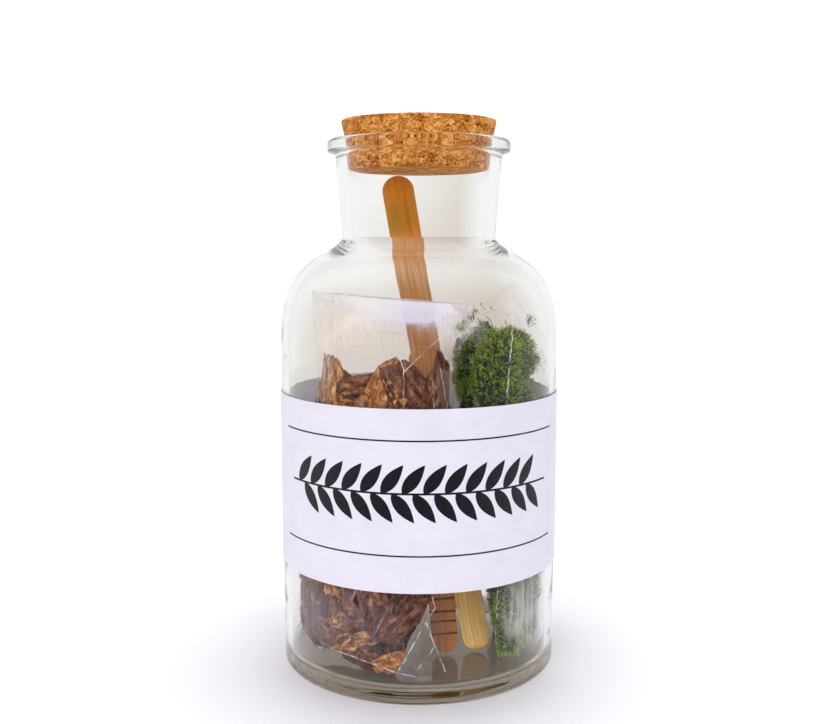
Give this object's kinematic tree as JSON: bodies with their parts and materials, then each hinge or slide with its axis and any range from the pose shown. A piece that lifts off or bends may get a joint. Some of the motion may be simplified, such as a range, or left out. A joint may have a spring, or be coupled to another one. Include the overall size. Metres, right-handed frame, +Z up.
{
  "type": "glass plant terrarium",
  "caption": "Corked apothecary jar with a paper label, holding a clear bag of bark, a clear bag of moss and two flat wooden sticks.",
  "frame": {"origin": "centre of the ring that the jar stands on, at the bottom of the part", "axes": "+Z up along the jar's axis; the front of the jar, with the bark at the left and the moss at the right, faces -Y"},
  "size_m": [0.1028, 0.1028, 0.2003],
  "materials": {
    "clear_glass": "gloss",
    "cork": "matte",
    "label_paper": "satin",
    "stick_wood": "matte",
    "clear_film": "gloss",
    "bark": "matte",
    "moss": "matte"
  },
  "bodies": {
    "root": {"jar_glass": "clear_glass", "cork_stopper": "cork", "paper_label": "label_paper", "stick_long": "stick_wood", "stick_short": "stick_wood", "bark_bag": "clear_film", "moss_bag": "clear_film", "bark_pile": "bark", "moss_clump": "moss"}
  },
  "joints": []
}
